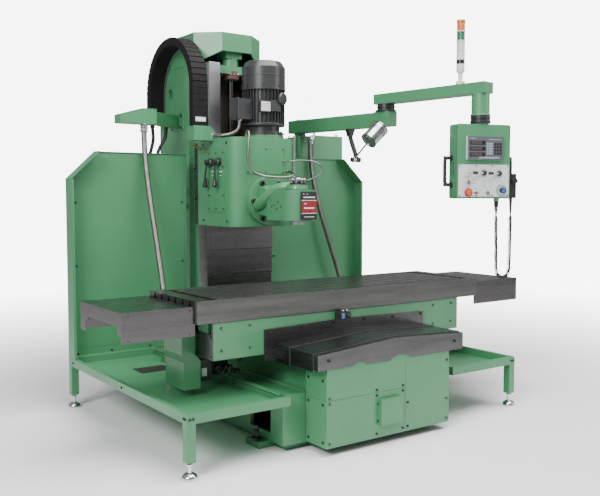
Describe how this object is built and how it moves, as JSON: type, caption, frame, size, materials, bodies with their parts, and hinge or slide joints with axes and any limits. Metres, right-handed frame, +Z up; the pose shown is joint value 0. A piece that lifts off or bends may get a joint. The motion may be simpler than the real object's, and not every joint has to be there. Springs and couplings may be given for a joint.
{
  "type": "vertical_milling_machine",
  "caption": "Bed-type vertical milling machine: long T-slotted table on a saddle, tall column with a swivelling spindle head, chip tray, sheet guards and a hanging control pendant on two arms.",
  "frame": {"origin": "on the floor, straight below the spindle's axis", "axes": "+X along the table to the right, +Y from the operator to the column, +Z up"},
  "size_m": [3.214, 2.577, 2.745],
  "materials": {
    "green": "satin",
    "grey": "satin",
    "steel": "brushed",
    "iron": "machined",
    "dark": "satin",
    "black": "matte",
    "red": "gloss",
    "panel": "matte",
    "lampmetal": "polished",
    "light": "clear"
  },
  "bodies": {
    "base": {"bed_casting": "green", "bed_cover": "green", "cover_front": "grey", "column_casting": "green", "column_ways": "iron", "column_cap": "green", "axis_drives": "dark", "chip_tray": "green", "guards": "green", "cabinet": "green", "cable_box": "dark", "conduit_glands": "steel", "conduit_left": "steel", "conduit_right": "steel", "arm_post": "green", "chain_rear": "black"},
    "door": {"cabinet_door": "green"},
    "y_screw_body": {"y_screw": "steel"},
    "z_screw_body": {"z_screw": "steel"},
    "x_screw_body": {"x_screw": "steel"},
    "saddle": {"saddle_casting": "green", "saddle_wiper": "grey", "belt_case": "green", "saddle_electrics": "dark", "cover_rear": "grey"},
    "middle_cover": {"cover_mid": "grey"},
    "table_body": {"table": "iron", "table_wings": "steel"},
    "head": {"head_casting": "green", "head_plates": "green", "motor_body": "grey", "z_cover_top": "grey", "chain_front": "black", "chain_arch": "black"},
    "upper_cover": {"z_cover_upper": "grey"},
    "lower_cover": {"z_cover_lower": "grey"},
    "rotor": {"motor_rotor": "steel"},
    "shaft": {"drive_shaft": "steel"},
    "spindle_body": {"spindle": "steel"},
    "lever_left": {"gear_lever_left": "black"},
    "lever_right": {"gear_lever_right": "black"},
    "swivel": {"swivel_casting": "green", "spindle_housing": "green", "housing_trim": "dark"},
    "arm_one": {"arm_lower": "green", "arm_joint": "dark"},
    "arm_two": {"arm_upper": "green", "tower_light": "light"},
    "pendant": {"pendant_box": "green", "control_panel": "panel", "pendant_fittings": "steel", "curly_cord": "black"},
    "stop": {"stop_button": "red"},
    "start": {"start_button": "black"},
    "knob": {"feed_knob": "black"},
    "stick_left": {"joystick_left": "black"},
    "stick_right": {"joystick_right": "black"},
    "dial": {"hand_dial": "black"},
    "lamp_stem": {"lamp_arm": "black"},
    "lamp": {"lamp_head": "lampmetal"}
  },
  "joints": [
    {"name": "door_hinge", "type": "hinge", "parent": "base", "child": "door", "pos_m": [1.148, 1.422, 1], "axis": [0, 0, 1], "range_deg": [-110, 0]},
    {"name": "saddle_travel", "type": "slide", "parent": "base", "child": "saddle", "axis": [0, 1, 0], "range_m": [-0.13, 0.13]},
    {"name": "cover_mid_slide", "type": "slide", "parent": "base", "child": "middle_cover", "axis": [0, 1, 0], "range_m": [-0.08, 0.07]},
    {"name": "y_screw_turn", "type": "hinge", "parent": "base", "child": "y_screw_body", "pos_m": [0, 0, 0.405], "axis": [0, 1, 0], "range_deg": [-2705, 2345]},
    {"name": "table_travel", "type": "slide", "parent": "saddle", "child": "table_body", "axis": [1, 0, 0], "range_m": [-0.4, 0.4]},
    {"name": "x_screw_turn", "type": "hinge", "parent": "saddle", "child": "x_screw_body", "pos_m": [0, -0.255, 0.722], "axis": [1, 0, 0], "range_deg": [-7205, 7205]},
    {"name": "head_travel", "type": "slide", "parent": "base", "child": "head", "axis": [0, 0, 1], "range_m": [-0.25, 0.24], "deforming": ["chain_arch"]},
    {"name": "z_cover_upper_slide", "type": "slide", "parent": "base", "child": "upper_cover", "axis": [0, 0, 1], "range_m": [-0.17, 0.163]},
    {"name": "z_cover_lower_slide", "type": "slide", "parent": "base", "child": "lower_cover", "axis": [0, 0, 1], "range_m": [-0.085, 0.082]},
    {"name": "z_screw_turn", "type": "hinge", "parent": "base", "child": "z_screw_body", "pos_m": [0, 0.916, 1.6], "axis": [0, 0, 1], "range_deg": [-4505, 4325]},
    {"name": "shaft_spin", "type": "hinge", "parent": "swivel", "child": "shaft", "pos_m": [0, 0.3, 1.459], "axis": [0, 1, 0], "continuous": true},
    {"name": "rotor_spin", "type": "hinge", "parent": "head", "child": "rotor", "pos_m": [0.08, 0.56, 2.1], "axis": [0, 0, 1], "continuous": true},
    {"name": "spindle_spin", "type": "hinge", "parent": "swivel", "child": "spindle_body", "pos_m": [0, 0, 1.4], "axis": [0, 0, 1], "continuous": true},
    {"name": "lever_left_turn", "type": "hinge", "parent": "head", "child": "lever_left", "pos_m": [-0.3, 0.7, 1.744], "axis": [1, 0, 0], "range_deg": [-25, 20]},
    {"name": "lever_right_turn", "type": "hinge", "parent": "head", "child": "lever_right", "pos_m": [-0.3, 0.585, 1.744], "axis": [1, 0, 0], "range_deg": [-20, 25]},
    {"name": "swivel_turn", "type": "hinge", "parent": "head", "child": "swivel", "pos_m": [0, 0.39, 1.459], "axis": [0, 1, 0], "range_deg": [-45, 45]},
    {"name": "arm_one_turn", "type": "hinge", "parent": "base", "child": "arm_one", "pos_m": [0.751, 1.03, 2.08], "axis": [0, 0, 1], "range_deg": [-12, 28]},
    {"name": "arm_two_turn", "type": "hinge", "parent": "arm_one", "child": "arm_two", "pos_m": [0.892, 0.089, 2.2], "axis": [0, 0, 1], "range_deg": [-50, 40]},
    {"name": "pendant_turn", "type": "hinge", "parent": "arm_two", "child": "pendant", "pos_m": [1.013, -0.752, 2.05], "axis": [0, 0, 1], "range_deg": [-90, 90]},
    {"name": "stop_press", "type": "slide", "parent": "pendant", "child": "stop", "axis": [0.309, 0.9511, 0], "range_m": [0, 0.006], "stiffness_N_per_m": 500},
    {"name": "start_press", "type": "slide", "parent": "pendant", "child": "start", "axis": [0.309, 0.9511, 0], "range_m": [0, 0.004], "stiffness_N_per_m": 400},
    {"name": "feed_turn", "type": "hinge", "parent": "pendant", "child": "knob", "pos_m": [1.12725, -0.84695, 1.533], "axis": [0.309, 0.9511, 0], "range_deg": [-135, 135]},
    {"name": "stick_left_turn", "type": "hinge", "parent": "pendant", "child": "stick_left", "pos_m": [0.9941, -0.80369, 1.653], "axis": [0.309, 0.9511, 0], "range_deg": [-40, 40]},
    {"name": "stick_right_turn", "type": "hinge", "parent": "pendant", "child": "stick_right", "pos_m": [1.10728, -0.84046, 1.65], "axis": [0.309, 0.9511, 0], "range_deg": [-40, 40]},
    {"name": "dial_turn", "type": "hinge", "parent": "pendant", "child": "dial", "pos_m": [1.2214, -0.87755, 1.6], "axis": [0.309, 0.9511, 0], "range_deg": [-180, 180]},
    {"name": "lamp_swing", "type": "hinge", "parent": "arm_one", "child": "lamp_stem", "pos_m": [0.8369, 0.4564, 1.99], "axis": [0, 0, 1], "range_deg": [-50, 4]},
    {"name": "lamp_tilt", "type": "hinge", "parent": "lamp_stem", "child": "lamp", "pos_m": [0.78, 0.295, 1.778], "axis": [1, 0, 0], "range_deg": [-8, 30]}
  ],
  "couplings": [
    {"joint": "cover_mid_slide", "follows": "saddle_travel", "ratio": 0.5},
    {"joint": "y_screw_turn", "follows": "saddle_travel", "rad_per_m": 314.16},
    {"joint": "x_screw_turn", "follows": "table_travel", "rad_per_m": 314.16},
    {"joint": "z_cover_upper_slide", "follows": "head_travel", "ratio": 0.66667},
    {"joint": "z_cover_lower_slide", "follows": "head_travel", "ratio": 0.33333},
    {"joint": "z_screw_turn", "follows": "head_travel", "rad_per_m": 314.16},
    {"joint": "rotor_spin", "follows": "shaft_spin", "ratio": -1.5},
    {"joint": "spindle_spin", "follows": "shaft_spin", "ratio": 1}
  ]
}
